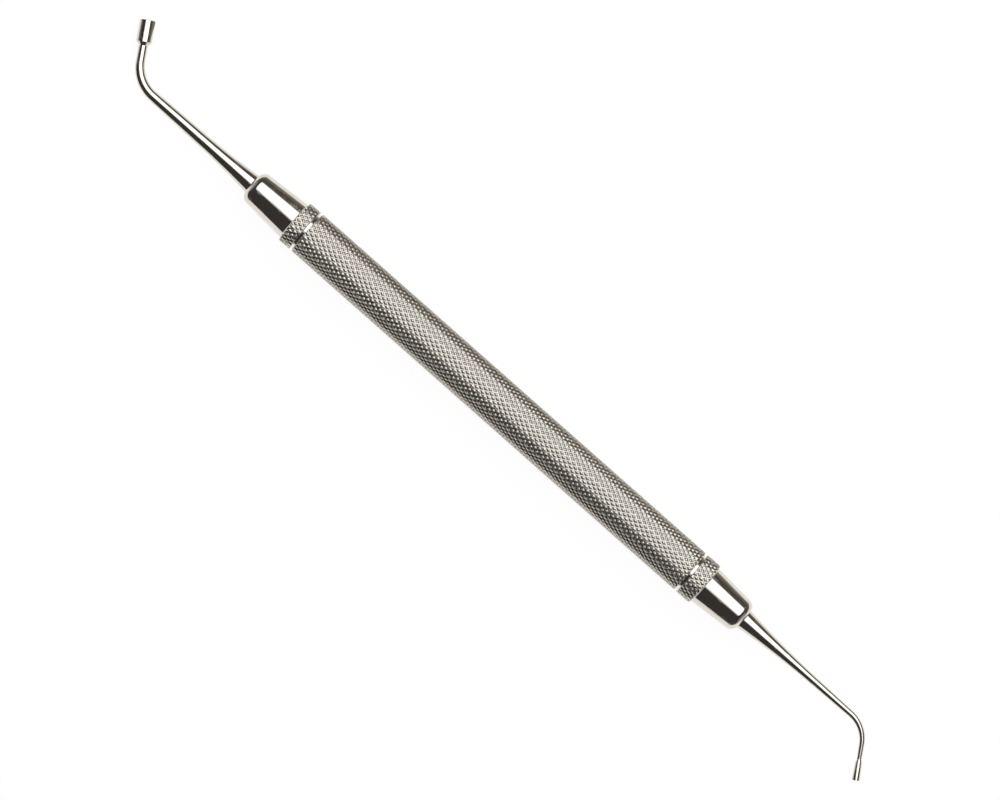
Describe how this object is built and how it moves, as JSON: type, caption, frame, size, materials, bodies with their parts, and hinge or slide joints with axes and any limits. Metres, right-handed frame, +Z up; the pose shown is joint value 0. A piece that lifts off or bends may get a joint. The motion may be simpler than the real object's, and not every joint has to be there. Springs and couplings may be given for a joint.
{
  "type": "dental plugger",
  "caption": "Double-ended hand plugger: a knurled round grip with polished noses, each holding a tapered, bent shank that ends in a flat-faced cylindrical nib.",
  "frame": {"origin": "centre of the bounding box, on the surface that the instrument rests on: it lies on the side of its grip and on the edge of its large nib", "axes": "+X along the grip's axis, from the large end to the small end; +Z up from the surface; the large nib bends to +Y and down onto the surface, the small nib to -Y and up"},
  "size_m": [0.1714, 0.0168, 0.008],
  "materials": {
    "knurled_steel": "stainless steel with a diamond knurl and polished crests",
    "polished_steel": "stainless steel polished to a mirror, with faint fine scratches"
  },
  "bodies": {
    "root": {"handle": "knurled_steel", "large_end_nose": "polished_steel", "small_end_nose": "polished_steel", "large_end_tip": "polished_steel", "small_end_tip": "polished_steel"}
  },
  "joints": []
}
